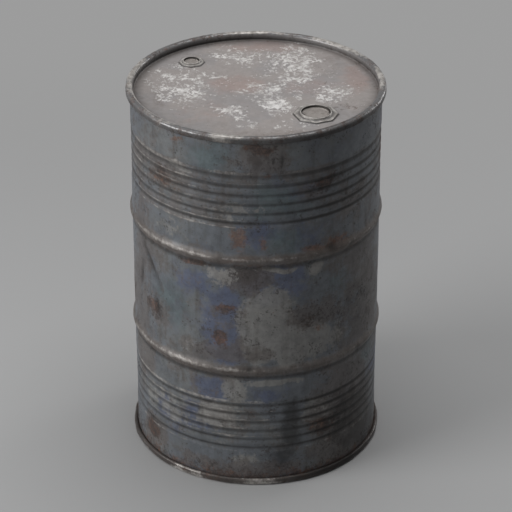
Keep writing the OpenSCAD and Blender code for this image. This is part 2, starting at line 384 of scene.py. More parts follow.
class Finish(ShaderNet):
    """A material built up in layers, from the bottom one."""

    def __init__(self, name, colour, roughness, metallic=0.0):
        self.material = bpy.data.materials.new(name)
        self.material.use_nodes = True
        super().__init__(self.material.node_tree)
        self.shader = self.tree.nodes["Principled BSDF"]
        self.vector = self.position()
        self.colour = colour
        self.roughness = roughness
        self.metallic = metallic
        self.height = 0.0

    def number_blend(self, mask, first, second):
        node = self.add("ShaderNodeMix", data_type="FLOAT")
        self.put(node.inputs[0], mask)
        self.put(node.inputs[2], first)
        self.put(node.inputs[3], second)
        return Field(self, node.outputs[0])

    def layer(self, mask, colour=None, roughness=None, metallic=None, height=None):
        """Lays a coat over what is there, where mask is 1."""
        if colour is not None:
            self.colour = self.blend(mask, self.colour, colour)
        if roughness is not None:
            self.roughness = self.number_blend(mask, self.roughness, roughness)
        if metallic is not None:
            self.metallic = self.number_blend(mask, self.metallic, metallic)
        if height is not None:
            self.height = self.number_blend(mask, self.height, height)

    def tint(self, factor, colour, mode="MULTIPLY"):
        """Changes the colour alone."""
        self.colour = self.blend(factor, self.colour, colour, mode)

    def ragged(self, amount, scale, spread=1.1, softness=0.05):
        """Mask of patches that grow together as the amount rises."""
        node = self.group(GROUPS["ragged"], Vector=self.vector, Amount=amount, Scale=scale, Spread=spread,
                          Softness=softness)
        return Field(self, node.outputs["Mask"])

    def rust(self, mask, scale=22.0, orange=0.5, crust=0.0):
        """A coat of rust, standing proud where it has a crust."""
        node = self.group(GROUPS["rust"], Vector=self.vector, Scale=scale, Orange=orange)
        height = Field(self, node.outputs["Height"]) * crust if crust else None
        self.layer(mask, node.outputs["Color"], 0.86, 0.0, height)

    def specks(self, density, scale):
        """Mask of small dots."""
        node = self.group(GROUPS["specks"], Vector=self.vector, Density=density, Scale=scale)
        return Field(self, node.outputs["Mask"])

    def worn_steel(self, mask, scale=60.0, metallic=0.5):
        """Paint rubbed through to the steel."""
        node = self.group(GROUPS["worn steel"], Vector=self.vector, Scale=scale)
        self.layer(mask, node.outputs["Color"], Field(self, node.outputs["Roughness"]), metallic)

    def done(self, bump=0.35, distance=1.2 * MM):
        """Joins the layers to the shader."""
        self.put(self.shader.inputs["Base Color"], self.colour)
        self.put(self.shader.inputs["Roughness"], self.roughness)
        self.put(self.shader.inputs["Metallic"], self.metallic)
        node = self.add("ShaderNodeBump")
        node.inputs["Strength"].default_value = bump
        node.inputs["Distance"].default_value = distance
        self.put(node.inputs["Height"], self.height)
        self.put(self.shader.inputs["Normal"], node.outputs["Normal"])
        return self.material


# ---------------------------------------------------------------- finishes

def shell_finish():
    """Blue-grey paint, chalked, stained and lifting, over rusted sheet, with painted shade in its recesses
    and painted highlights along its worn relief.
    """
    f = Finish("shell_paint", srgb(93, 97, 102), 0.45)
    broad = f.noise(f.vector, 5.0, detail=5, roughness=0.6, seed=0.3)
    patch = f.noise(f.vector, 15.0, detail=6, roughness=0.66, distortion=0.6, seed=9.1)
    mottle = f.noise(f.vector, 48.0, detail=7, roughness=0.7, distortion=0.3, seed=6.6)
    fine = f.noise(f.vector, 170.0, detail=5, roughness=0.7, seed=2.9)
    streak = f.noise(f.stretched(f.vector, (1, 1, 0.1)), 62.0, detail=6, roughness=0.65, seed=7.7)

    paint_in_layers(f, broad, patch, mottle)
    stain_and_rust(f, broad, patch, streak)

    f.layer(f.ragged(f.attribute("flake"), 85.0, 2.4, 0.09) * 0.8, srgb(133, 131, 128), 0.6, height=0.3)
    rubbed = f.attribute("rubbed").clamped()
    f.layer(rubbed * 0.7, srgb(102, 96, 92), 0.4, 0.35)
    rusting = f.ragged(0.45 + (patch - 0.5) * 0.8, 50.0, 2.2, 0.2)
    f.layer(rubbed * rusting * 0.7, srgb(78, 69, 64), 0.62, 0.0)
    # Rubbed steel, with painted highlights where the wear field leans towards the key light and along the
    # ridges.
    f.worn_steel(f.ragged(f.attribute("wear_and_highlight") + (broad - 0.5) * 1.2, 48.0, 1.8, 0.2) * 0.65)
    f.tint(f.step(streak, 0.5, 0.7) * 0.3, srgb(150, 138, 130))
    # Soot, and painted shade on the right side, darken the colour.
    f.tint(f.ragged(f.attribute("soot_and_shade"), 40.0, 1.6, 0.35) * 0.75, srgb(80, 76, 76))
    # Painted shade in the grooves, under the hoops, beside the seams and in the creases darkens the colour.
    f.tint((f.attribute("painted_recess_shade") * (0.4 + mottle * 0.7)).clamped(), srgb(84, 77, 74))
    weld_seam(f, mottle)
    f.tint(f.step(mottle, 0.36, 0.66) * 0.6, srgb(180, 179, 180))
    f.height = f.height + fine * 0.14 + mottle * 0.2
    return f.done()


def paint_in_layers(f, broad, patch, mottle):
    """The blue-grey coat, and the older and newer coats that show through or over it."""
    f.tint(f.step(patch, 0.48, 0.6) * 0.55, srgb(79, 83, 91), "MIX")
    f.tint(f.step(broad + mottle * 0.4, 0.68, 0.8) * 0.6, srgb(106, 108, 107), "MIX")
    f.layer(f.ragged(f.attribute("blue"), 22.0, 2.6, 0.25) * 0.75, srgb(76, 84, 108), 0.42)
    f.layer(f.ragged(f.attribute("teal"), 20.0, 2.4, 0.25) * 0.55, srgb(86, 102, 104), 0.46)
    f.layer(f.ragged(f.attribute("pale"), 26.0, 2.2, 0.14) * 0.85, srgb(125, 124, 121), 0.6)


def stain_and_rust(f, broad, patch, streak):
    """A brown film that soaks outwards from rust, then lifted paint, pits and the rust itself."""
    film = f.attribute("brown") + (broad - 0.5) * 1.2 + (patch - 0.5) * 1.1 + (streak - 0.5) * 0.5 + 0.27
    f.layer(f.ragged(film, 30.0, 2.4, 0.18) * 0.72, srgb(90, 84, 81), 0.6)
    f.layer(f.ragged(film - 0.52, 34.0, 2.2, 0.2) * 0.75, srgb(66, 60, 57), 0.7)
    lifted = f.attribute("lifted") + (patch - 0.5) * 0.8
    f.layer(f.ragged(lifted, 60.0, 2.2, 0.06) * 0.7, srgb(72, 68, 67), 0.7)
    f.rust(f.ragged(f.attribute("rust") + (patch - 0.5) * 0.3, 42.0, 2.0, 0.16) * 0.8, 26.0, 0.45, 0.3)
    smear = f.attribute("orange") * 0.9 + (streak - 0.5) * 0.5
    f.rust(f.ragged(smear, 55.0, 2.8, 0.22) * 0.6, 26.0, 0.75)
    pits = f.specks(0.53 + f.attribute("rust") * 0.3 + f.attribute("brown") * 0.2, 165.0)
    f.layer(pits * 0.7, srgb(54, 48, 46), 0.8, height=-0.4)
    crumbs = f.specks(0.3 + f.attribute("rust") * 0.4 + f.attribute("orange") * 0.3, 120.0)
    f.rust(crumbs * 0.7, 50.0, 0.55)


def weld_seam(f, mottle):
    """The sheet's welded edge, straight up the drum's back."""
    place = f.add("ShaderNodeSeparateXYZ")
    f.put(place.inputs[0], f.vector)
    off = f.math("ABSOLUTE", Field(f, place.outputs["X"]))
    behind = f.step(Field(f, place.outputs["Y"]), 0.0, 0.01)
    bead = (1.0 - f.step(off, 0.0012, 0.0026)) * behind
    burnt = (1.0 - f.step(off + (mottle - 0.5) * 0.022, 0.003, 0.014)) * behind
    f.tint(burnt * 0.4, srgb(150, 136, 128))
    f.layer(bead * f.step(mottle, 0.4, 0.56) * 0.5, srgb(100, 90, 82), 0.6)
    f.height = f.height + bead * 0.9


def head_finish(name, chime_colour, chime_rust):
    """Dusty warm grey paint with chalky flakes and light rust, and a chime rubbed to dull metal, with painted
    highlights on its edges and painted shade in and under its chime and round its bosses.
    """
    f = Finish(name, srgb(148, 142, 139), 0.55)
    broad = f.noise(f.vector, 8.0, detail=5, roughness=0.6, seed=1.3)
    patch = f.noise(f.vector, 26.0, detail=7, roughness=0.66, distortion=0.5, seed=3.1)
    mottle = f.noise(f.vector, 70.0, detail=6, roughness=0.7, seed=8.1)
    fine = f.noise(f.vector, 200.0, detail=5, roughness=0.7, seed=5.9)
    f.tint(f.step(broad, 0.45, 0.58) * 0.7, srgb(140, 137, 137), "MIX")
    f.tint(f.step(patch, 0.5, 0.62) * 0.45, srgb(132, 126, 123), "MIX")
    f.layer(f.ragged(f.attribute("pink"), 26.0, 2.0, 0.35) * 0.5, srgb(150, 128, 121), 0.65)
    film = f.attribute("brown") + (broad - 0.5) * 0.6
    f.layer(f.ragged(film, 22.0, 1.8, 0.25) * 0.6, srgb(114, 103, 97), 0.7)
    chime = f.attribute("chime").clamped()
    f.layer(chime * 0.95, srgb(*chime_colour), 0.3, 0.6)
    rusting = f.ragged(chime_rust + (patch - 0.5) * 1.6, 50.0, 2.4, 0.12)
    f.layer(chime * rusting * 0.85, srgb(65, 59, 56), 0.55, 0.0)
    f.rust(f.ragged(f.attribute("rust") + (patch - 0.5) * 0.4, 46.0, 2.0, 0.14) * 0.7, 30.0, 0.42)
    f.rust(f.specks(0.34 + f.attribute("rust") * 0.5, 170.0) * 0.7, 50.0, 0.45)
    # Chalk flakes; on the boss edges and lips they also lie as a broken painted highlight.
    lace = f.attribute("flake") + (patch - 0.5) * 1.4 - 0.09
    chalk = f.blend(f.step(mottle, 0.38, 0.58), srgb(182, 179, 176), srgb(236, 234, 232))
    f.layer(f.ragged(lace, 118.0, 2.6, 0.10) * 0.84, chalk, 0.62, height=0.6)
    # Rubbed steel, with painted highlights along the chime's crest and on the boss edges.
    f.worn_steel(f.ragged(f.attribute("wear_and_highlight") + (patch - 0.5) * 0.8, 30.0, 1.9, 0.16) * 0.92, 80.0, 0.25)
    # Soot, and painted shade in the chime, round the bosses and in their mouths, darken the colour.
    f.tint(f.attribute("soot_and_shade").clamped() * 0.95, srgb(62, 57, 54))
    f.tint(f.step(mottle, 0.3, 0.7) * 0.35, srgb(200, 198, 197))
    f.height = f.height + fine * 0.12 + mottle * 0.18
    return f.done()


def bung_finish(name, colour, rust_amount):
    """Pressed steel under old dust, with rust in the corners and painted shade in its gap."""
    f = Finish(name, srgb(*colour), 0.5, 0.2)
    patch = f.noise(f.vector, 75.0, detail=6, roughness=0.68, seed=4.8)
    fine = f.noise(f.vector, 340.0, detail=5, roughness=0.7, seed=1.9)
    f.tint(f.step(patch, 0.42, 0.62) * 0.6, srgb(124, 117, 112), "MIX")
    f.rust(f.ragged(rust_amount + (patch - 0.5) * 0.8, 120.0, 2.0, 0.14) * 0.75, 90.0, 0.42)
    # Painted shade in the plug's gap and over the flange darkens the colour.
    f.tint(f.attribute("soot_and_shade").clamped() * 0.95, srgb(56, 52, 50))
    f.tint(f.step(fine, 0.4, 0.7) * 0.3, srgb(196, 194, 192))
    f.height = f.height + fine * 0.2
    return f.done(distance=0.5 * MM)


def rubber_finish():
    """Hardened black rubber, greyed by dust."""
    f = Finish("gasket_rubber", srgb(34, 33, 32), 0.75)
    dust = f.noise(f.vector, 160.0, detail=5, roughness=0.65, seed=3.3)
    f.tint(f.step(dust, 0.45, 0.68) * 0.5, srgb(72, 68, 64), "MIX")
    f.height = f.noise(f.vector, 600.0, detail=3, seed=8.8)
    return f.done(distance=0.2 * MM)


def floor_finish():
    """Matt studio floor, which runs out into the even backdrop away from the drum."""
    f = Finish("floor", srgb(160, 160, 160), 0.9)
    f.shader.inputs["Specular IOR Level"].default_value = 0.1
    unevenness = f.noise(f.vector, 1.2, detail=3, seed=0.9)
    f.tint(f.step(unevenness, 0.3, 0.7) * 0.05, srgb(152, 152, 152), "MIX")
    distance = f.add("ShaderNodeVectorMath", operation="LENGTH")
    f.put(distance.inputs[0], f.vector)
    far = f.step(Field(f, distance.outputs["Value"]), 0.9, 2.4) * f.seen()
    f.tint(far, BLACK, "MIX")
    f.put(f.shader.inputs["Emission Color"], f.blend(far, BLACK, BACKDROP))
    f.shader.inputs["Emission Strength"].default_value = 1
    return f.done(bump=0.0)


# ---------------------------------------------------------------- meshes

def arc(centre, radius, start, end, steps=8):
    """Points of an arc in the (radius, height) plane; angles in degrees."""
    return [(centre[0] + radius * math.cos(a * DEG), centre[1] + radius * math.sin(a * DEG))
            for a in np.linspace(start, end, steps + 1)]


def loft(rows, columns, centre=(0, 0), loop=False):
    """Rings of points about an upright axis, joined by faces. A row is (radius, height), and the radius may
    be a function of the angle."""
    angles = np.arange(columns) * 2 * math.pi / columns
    points = []
    for radius, height in rows:
        r = np.array([radius(a) for a in angles]) if callable(radius) else np.full(columns, radius)
        x = centre[0] + r * np.cos(angles)
        y = centre[1] + r * np.sin(angles)
        points.append(np.stack([x, y, np.full(columns, height)], 1))
    faces = []
    count = len(rows)
    for i in range(count if loop else count - 1):
        a, b = i * columns, (i + 1) % count * columns
        for j in range(columns):
            k = (j + 1) % columns
            faces.append((a + j, a + k, b + k, b + j))
    return np.concatenate(points), faces


def joined(*parts):
    """Several (points, faces) pairs as one."""
    points, faces, offset = [], [], 0
    for part_points, part_faces in parts:
        points.append(part_points)
        faces += [tuple(i + offset for i in face) for face in part_faces]
        offset += len(part_points)
    return np.concatenate(points), faces


def pole(ring_points, height, centre=(0, 0)):
    """A fan that closes a ring of points at its middle."""
    count = len(ring_points)
    points = np.concatenate([ring_points, [[centre[0], centre[1], height]]])
    return points, [(j, (j + 1) % count, count) for j in range(count)]


def new_mesh(name, points, faces):
    """A closed mesh with its doubled points merged and its faces outwards."""
    mesh = bpy.data.meshes.new(name)
    mesh.from_pydata([tuple(p) for p in points], [], faces)
    work = bmesh.new()
    work.from_mesh(mesh)
    bmesh.ops.remove_doubles(work, verts=work.verts, dist=1e-6)
    bmesh.ops.recalc_face_normals(work, faces=work.faces)
    work.to_mesh(mesh)
    work.free()
    return mesh


def coordinates(mesh):
    """The mesh's points as an array, one to a row."""
    co = np.empty(len(mesh.vertices) * 3)
    mesh.vertices.foreach_get("co", co)
    return co.reshape(-1, 3)


def set_coordinates(mesh, co):
    """Moves the mesh's points to the rows of an array."""
    mesh.vertices.foreach_set("co", co.astype(np.float32).ravel())
    mesh.update()


def set_attribute(mesh, name, values):
    """One number for each point, for a finish to read."""
    attribute = mesh.attributes.new(name, "FLOAT", "POINT")
    attribute.data.foreach_set("value", values.astype(np.float32))


def put_piece(name, mesh, finish, body, nodes=(), sharp=38):
    """Puts a finished mesh on its body, in place of the nodes that it stands for."""
    mesh.name = name
    piece = bpy.data.objects.new(name, mesh)
    bpy.context.scene.collection.objects.link(piece)
    mesh.materials.clear()
    mesh.materials.append(finish)
    mesh.shade_smooth()
    mesh.set_sharp_from_angle(angle=sharp * DEG)
    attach(piece, body)
    if nodes:
        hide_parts(*nodes)


def evaluated_mesh(mesh, kind, **settings):
    """The mesh after one modifier."""
    holder = bpy.data.objects.new("holder", mesh)
    bpy.context.scene.collection.objects.link(holder)
    modifier = holder.modifiers.new("shape", kind)
    for key, value in settings.items():
        if key == "inputs":
            for identifier, number in value.items():
                modifier[identifier] = number
        else:
            setattr(modifier, key, value)
    depsgraph = bpy.context.evaluated_depsgraph_get()
    result = bpy.data.meshes.new_from_object(holder.evaluated_get(depsgraph))
    bpy.data.objects.remove(holder)
    return result


# ---------------------------------------------------------------- geometry node trees

class GeometryTree(Net):
    """A modifier's tree with named inputs. Their values are kept by the sockets' identifiers."""

    def __init__(self, name):
        super().__init__(bpy.data.node_groups.new(name, "GeometryNodeTree"))
        self.tree.interface.new_socket("Geometry", in_out="INPUT", socket_type="NodeSocketGeometry")
        self.tree.interface.new_socket("Geometry", in_out="OUTPUT", socket_type="NodeSocketGeometry")
        self.given = {}
        self.values = {}

    def inputs(self, finish, **sizes):
        """Adds one named input for each size, and one for the material."""
        kinds = {int: "NodeSocketInt", float: NUMBER}
        for name, value in sizes.items():
            socket = self.tree.interface.new_socket(name.replace("_", " "), in_out="INPUT",
                                                    socket_type=kinds[type(value)])
            self.values[socket.identifier] = value
        socket = self.tree.interface.new_socket("Material", in_out="INPUT", socket_type="NodeSocketMaterial")
        self.values[socket.identifier] = finish
        node = self.add("NodeGroupInput")
        for name in sizes:
            self.given[name] = Field(self, node.outputs[name.replace("_", " ")])
        self.material = node.outputs["Material"]

    def grid(self, columns, rows):
        """A flat grid one unit wide, and where each of its points lies across it and up it, from 0 to 1."""
        grid = self.add("GeometryNodeMeshGrid")
        grid.inputs["Size X"].default_value = 1
        grid.inputs["Size Y"].default_value = 1
        self.put(grid.inputs["Vertices X"], columns)
        self.put(grid.inputs["Vertices Y"], rows)
        place = self.add("ShaderNodeSeparateXYZ")
        self.put(place.inputs[0], self.add("GeometryNodeInputPosition").outputs[0])
        across = Field(self, place.outputs["X"]) + 0.5
        up = Field(self, place.outputs["Y"]) + 0.5
        return grid.outputs["Mesh"], across, up

    def finish(self, mesh, x, y, z):
        """Puts the grid's points in place, closes its seams and ends the tree."""
        place = self.add("ShaderNodeCombineXYZ")
        for socket, value in zip(place.inputs, (x, y, z)):
            self.put(socket, value)
        moved = self.add("GeometryNodeSetPosition")
        self.put(moved.inputs["Geometry"], mesh)
        self.put(moved.inputs["Position"], place.outputs[0])
        merged = self.add("GeometryNodeMergeByDistance")
        self.put(merged.inputs["Geometry"], moved.outputs[0])
        merged.inputs["Distance"].default_value = 1e-5
        real = self.add("GeometryNodeRealizeInstances")
        self.put(real.inputs[0], merged.outputs[0])
        coated = self.add("GeometryNodeSetMaterial")
        self.put(coated.inputs["Geometry"], real.outputs[0])
        self.put(coated.inputs["Material"], self.material)
        self.put(self.add("NodeGroupOutput").inputs[0], coated.outputs[0])

    def made(self):
        """The mesh that the tree makes, with faces outwards."""
        mesh = evaluated_mesh(bpy.data.meshes.new("seed"), "NODES", node_group=self.tree, inputs=self.values)
        work = bmesh.new()
        work.from_mesh(mesh)
        bmesh.ops.recalc_face_normals(work, faces=work.faces)
        if work.calc_volume(signed=True) < 0:
            bmesh.ops.reverse_faces(work, faces=work.faces)
        work.to_mesh(mesh)
        work.free()
        return mesh


def rolled_wall(finish):
    """The shell's wall: sheet rolled into a tube, with hoops swelled out and bead grooves rolled in."""
    tree = GeometryTree("rolled wall")
    tree.inputs(
        finish, Wall_Radius=WALL_R, Sheet=SHEET, Drum_Height=DRUM_H, End_Gap=8 * MM, Around=AROUND_WALL,
        Rows_Outside=232, Rows_Inside=112, Crowding=0.03, Hoop_Rise=HOOP_RISE, Hoop_Height=HOOP_H,
        Hoop_From_End=HOOP_FROM_END, Bead_Count=BEADS, Bead_Pitch=BEAD_PITCH, Bead_Depth=BEAD_DEPTH,
        Ridge_Drop=RIDGE_DROP, Last_Bead=LAST_BEAD)
    g = tree.given
    rows = g["Rows_Outside"] + g["Rows_Inside"]
    mesh, across, up = tree.grid(g["Around"] + 1, rows + 1)

    # Each column of the grid runs up the outside of the sheet, over its edge and down the inside.
    row = tree.math("MODULO", tree.math("ROUND", up * rows), rows)
    inside = tree.math("GREATER_THAN", row, g["Rows_Outside"] - 0.5)
    rise = row / (g["Rows_Outside"] - 1)
    fall = 1.0 - (row - g["Rows_Outside"]) / (g["Rows_Inside"] - 1)
    share = rise + (fall - rise) * inside
    # Rows crowd towards the beads and hoops, a quarter of the height from each end.
    share = share + g["Crowding"] * tree.math("SINE", share * 4 * math.pi)
    z = g["End_Gap"] + share * (g["Drum_Height"] - g["End_Gap"] * 2)
    end = z.least(g["Drum_Height"] - z)

    hoop = tree.math("ABSOLUTE", (end - g["Hoop_From_End"]) / g["Hoop_Height"]).least(0.5)
    swell = g["Hoop_Rise"] * (tree.math("COSINE", hoop * 2 * math.pi) + 1.0) * 0.5
    bead = (g["Last_Bead"] - end) / g["Bead_Pitch"]
    past = (0.0 - bead).most(bead - (g["Bead_Count"] - 1)).most(0.0).least(0.5)
    groove = g["Bead_Depth"] * (tree.math("COSINE", past * 2 * math.pi) + 1.0) * 0.5
    within = tree.math("LESS_THAN", past, 0.0001)
    # Ridges are broad and the grooves between them narrow.
    dip = (tree.math("COSINE", bead * 2 * math.pi) + 1.0) * 0.5
    ridge = (1.0 - dip * dip) * (g["Bead_Depth"] - g["Ridge_Drop"]) * within
    radius = g["Wall_Radius"] + swell - groove + ridge - g["Sheet"] * inside

    angle = across * 2 * math.pi
    tree.finish(mesh, radius * tree.math("COSINE", angle), radius * tree.math("SINE", angle), z)
    return tree.made()


def helical_thread(finish, root, depth, pitch, turns, bottom):
    """One thread ridge wound round the axis, run out to nothing at both ends. Depth is negative in a bore.
    Half widths are shares of the pitch, and leave the ridges of a plug and a flange a little play."""
    tree = GeometryTree("helical thread")
    tree.inputs(finish, Root_Radius=root, Depth=depth, Pitch=pitch, Turns=turns, Bottom=bottom,
                Steps_Per_Turn=72, Run_Out=0.3, Half_Foot=0.40, Half_Crest=0.10, Foot_Sunk=0.06)
    g = tree.given
    # The section has a foot and a crest on each side, and its last row closes it.
    corners = 4
    mesh, across, up = tree.grid(g["Turns"] * g["Steps_Per_Turn"] + 1, corners + 1)
    corner = tree.math("MODULO", tree.math("ROUND", up * corners), corners)
    on_crest = tree.math("LESS_THAN", tree.math("ABSOLUTE", corner - 1.5), 1.0)
    side = tree.math("GREATER_THAN", corner, 1.5) * 2 - 1
    turn = across * g["Turns"]
    # Height of the ridge, which grows and dies away over the run-out
    full = (turn / g["Run_Out"]).least((g["Turns"] - turn) / g["Run_Out"]).clamped()
    half_width = (g["Half_Foot"] + (g["Half_Crest"] - g["Half_Foot"]) * on_crest) * g["Pitch"] * side
    radius = g["Root_Radius"] + g["Depth"] * (on_crest * (g["Foot_Sunk"] + 1.0) - g["Foot_Sunk"]) * full
    z = g["Bottom"] + turn * g["Pitch"] + half_width * full
    angle = turn * 2 * math.pi
    tree.finish(mesh, radius * tree.math("COSINE", angle), radius * tree.math("SINE", angle), z)
    return tree.made()


# ---------------------------------------------------------------- dents and stains

def wrapped(angle):
    """Degrees brought to within half a turn of 0."""
    return (angle + 180) % 360 - 180


def round_wall(co):
    """Angle in degrees, from the front towards the right, and height of points on the wall."""
    return np.degrees(np.arctan2(co[:, 0], -co[:, 1])), co[:, 2]


def soft_spot(away, strength):
    """Half its strength at one half-width from the middle of a spot."""
    return strength * np.clip(1.25 - away * 0.75, 0, 1)


def spots_on_wall(co, spots):
    """Field of soft spots. A spot is (degrees round from the front, height, half width in degrees,
    half height, strength)."""
    angle, z = round_wall(co)
    # Above 2, spots are squarer than an ellipse.
    power = 2.5
    field = np.zeros(len(co))
    for where, height, wide, tall, strength in spots:
        across = np.abs(wrapped(angle - where) / wide)
        up = np.abs((z - height) / tall)
        away = (across ** power + up ** power) ** (1 / power)
        field = np.maximum(field, soft_spot(away, strength))
    return field


def spots_on_head(co, spots):
    """Field of soft spots on a head. A spot is (x, y, half width, half depth, strength)."""
    field = np.zeros(len(co))
    for x, y, wide, deep, strength in spots:
        away = np.hypot((co[:, 0] - x) / wide, (co[:, 1] - y) / deep)
        field = np.maximum(field, soft_spot(away, strength))
    return field


def cloud(co, size, seed):
    """Smooth noise from -1 to 1, with features of about the given size."""
    offset = Vector((seed * 3.1, seed * 1.7, seed * 2.3))
    return np.array([noise.noise(Vector(p) / size + offset) for p in co])


def band(x, middle, half, top=1.0):
    """1 at the middle, fading evenly to 0 on both sides. A top above 1 keeps it at 1 near the middle."""
    return np.clip(top - np.abs(x - middle) / half, 0, 1)


def facing(angle, towards, half, top):
    """A band round the drum, in degrees from the front."""
    return band(wrapped(angle - towards), 0, half, top)


def along_hoops(z, above, half):
    """Two bands that lie at the same distance above the middle of each hoop."""
    return np.maximum(*[band(z, hoop + above, half) for hoop in HOOPS])


def from_axis(co, bung):
    """How far points are from a bung's axis."""
    return np.hypot(co[:, 0] - bung["centre"][0], co[:, 1] - bung["centre"][1])


# Dents in the wall: (degrees round, height, half width, half height, depth, tilt in degrees)
WALL_DENTS = [
    (-56, 0.515, 0.009, 0.060, 3.4 * MM, 38),
    (-52, 0.420, 0.010, 0.024, 1.8 * MM, 20),
    (-66, 0.470, 0.008, 0.040, 2.0 * MM, -8),
    (-33, 0.445, 0.045, 0.035, 1.3 * MM, 20),
    (17, 0.300, 0.020, 0.014, 1.4 * MM, 0),
    (31, 0.655, 0.040, 0.020, 1.2 * MM, -25),
    (44, 0.430, 0.030, 0.060, 1.8 * MM, -12),
    (-8, 0.835, 0.050, 0.020, 1.0 * MM, 8),
    (68, 0.520, 0.040, 0.030, 2.0 * MM, 30),
    (35, 0.601, 0.013, 0.007, 2.2 * MM, -25),
    (47, 0.589, 0.011, 0.006, 2.0 * MM, 15),
    (-3, 0.312, 0.012, 0.006, 1.6 * MM, 10),
    (54, 0.300, 0.014, 0.008, 2.0 * MM, -20),
    (121, 0.480, 0.060, 0.045, 3.0 * MM, 15),
    (164, 0.250, 0.030, 0.040, 2.0 * MM, -30),
    (203, 0.640, 0.045, 0.025, 2.2 * MM, 10),
    (236, 0.400, 0.050, 0.070, 2.8 * MM, -18),
]


# The narrow dents, which get painted shade
CREASES = [dent for dent in WALL_DENTS if dent[2] < 0.017]


def dent_shape(angle, z, dent):
    """1 in the middle of a dent, fading outwards."""
    where, height, wide, tall, _, tilt = dent
    across = wrapped(angle - where) * DEG * WALL_R
    up = z - height
    c, s = math.cos(tilt * DEG), math.sin(tilt * DEG)
    return np.exp(-((across * c + up * s) / wide) ** 2 - ((up * c - across * s) / tall) ** 2)


def dent_wall(co):
    """Moves points of the wall in or out along its radius."""
    angle, z = round_wall(co)
    radius = np.hypot(co[:, 0], co[:, 1])
    # The seams at both ends hold the wall round.
    free = np.clip(np.minimum(z, DRUM_H - z) / 0.06, 0, 1)
    change = cloud(co, 0.16, 1) * 0.9 * MM + cloud(co, 0.06, 2) * 0.45 * MM
    for dent in WALL_DENTS:
        change -= dent[4] * dent_shape(angle, z, dent)
    # The hoops are flattened a little where the drum was rolled.
    change += along_hoops(z, 0, 0.014) * cloud(co, 0.035, 3) * 0.5 * MM
    factor = 1 + change * free / radius
    return np.stack([co[:, 0] * factor, co[:, 1] * factor, co[:, 2]], 1)


